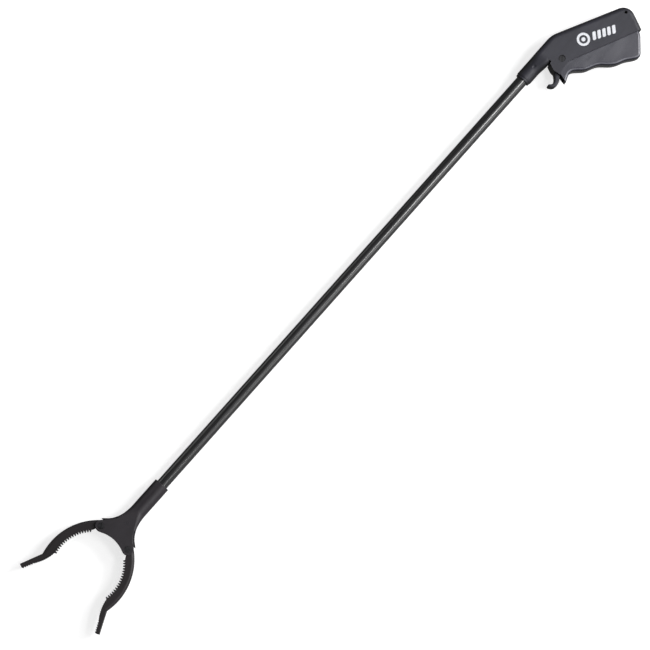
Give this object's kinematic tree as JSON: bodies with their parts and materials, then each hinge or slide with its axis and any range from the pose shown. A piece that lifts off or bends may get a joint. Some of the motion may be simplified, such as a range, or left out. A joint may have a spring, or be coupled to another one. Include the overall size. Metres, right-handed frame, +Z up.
{
  "type": "reacher grabber",
  "caption": "Long-handled reacher grabber: a squeeze trigger drives a push rod in a round tube and a cam crosshead that closes a pair of curved toothed jaws.",
  "frame": {"origin": "middle of the underside of the tool as it lies on its left side", "axes": "+X along the tube towards the rear of the handle, +Y towards the palm side, +Z up, out of the handle's right side"},
  "size_m": [0.968, 0.1472, 0.027],
  "materials": {
    "body_plastic": "fine textured black",
    "jaw_plastic": "satin black",
    "trigger_plastic": "smooth satin black",
    "tube_gloss_black": "gloss black",
    "black_screw": "blackened steel",
    "zinc_steel": "zinc plated",
    "spring_steel": "drawn wire",
    "die_cast_zinc": "as cast",
    "white_nylon": "natural nylon"
  },
  "bodies": {
    "tool": {"handle_shell_right": "body_plastic", "handle_shell_left": "body_plastic", "fork_body": "body_plastic", "fork_back_cover": "body_plastic", "tube": "tube_gloss_black", "trigger_pivot_screw": "black_screw", "jaw_pivot_screw_upper": "black_screw", "jaw_pivot_screw_lower": "black_screw", "trigger_pivot_nut": "zinc_steel", "jaw_pivot_nuts": "zinc_steel", "handle_screws": "zinc_steel", "fork_cover_screws": "zinc_steel", "fork_collar_screw": "zinc_steel", "trigger_pivot_bush": "zinc_steel", "jaw_bush_upper": "zinc_steel", "jaw_bush_lower": "zinc_steel", "return_spring": "spring_steel", "spring_guide_bush": "white_nylon", "front_rod_bush": "white_nylon", "rod_guide_1": "white_nylon", "rod_guide_2": "white_nylon", "rod_guide_3": "white_nylon"},
    "trigger": {"trigger": "trigger_plastic"},
    "rod": {"push_rod": "zinc_steel", "rod_end": "white_nylon", "rod_cross_pin": "zinc_steel", "crosshead": "die_cast_zinc", "crosshead_roll_pin": "zinc_steel"},
    "jaw_upper": {"jaw_upper": "jaw_plastic", "drive_pin_upper": "zinc_steel"},
    "jaw_lower": {"jaw_lower": "jaw_plastic", "drive_pin_lower": "zinc_steel"}
  },
  "joints": [
    {"name": "trigger_squeeze", "type": "hinge", "parent": "tool", "child": "trigger", "pos_m": [0.38406, -0.00628, 0.0135], "axis": [0, 0, 1], "range_deg": [0, 12.8], "stiffness_Nm_per_rad": 0.5, "springref_deg": -5.73},
    {"name": "rod_slide", "type": "slide", "parent": "tool", "child": "rod", "axis": [-1, 0, 0], "range_m": [0, 0.00417], "deforming": ["return_spring"]},
    {"name": "jaw_upper_swing", "type": "hinge", "parent": "tool", "child": "jaw_upper", "pos_m": [-0.38764, 0.03272, 0.0135], "axis": [0, 0, 1], "range_deg": [0, 31.6]},
    {"name": "jaw_lower_swing", "type": "hinge", "parent": "tool", "child": "jaw_lower", "pos_m": [-0.38764, -0.00868, 0.0135], "axis": [0, 0, -1], "range_deg": [0, 31.6]}
  ],
  "couplings": [
    {"joint": "rod_slide", "follows": "trigger_squeeze", "m_per_rad": 0.018611},
    {"joint": "jaw_upper_swing", "follows": "trigger_squeeze", "ratio": 2.4687},
    {"joint": "jaw_lower_swing", "follows": "trigger_squeeze", "ratio": 2.4687}
  ]
}
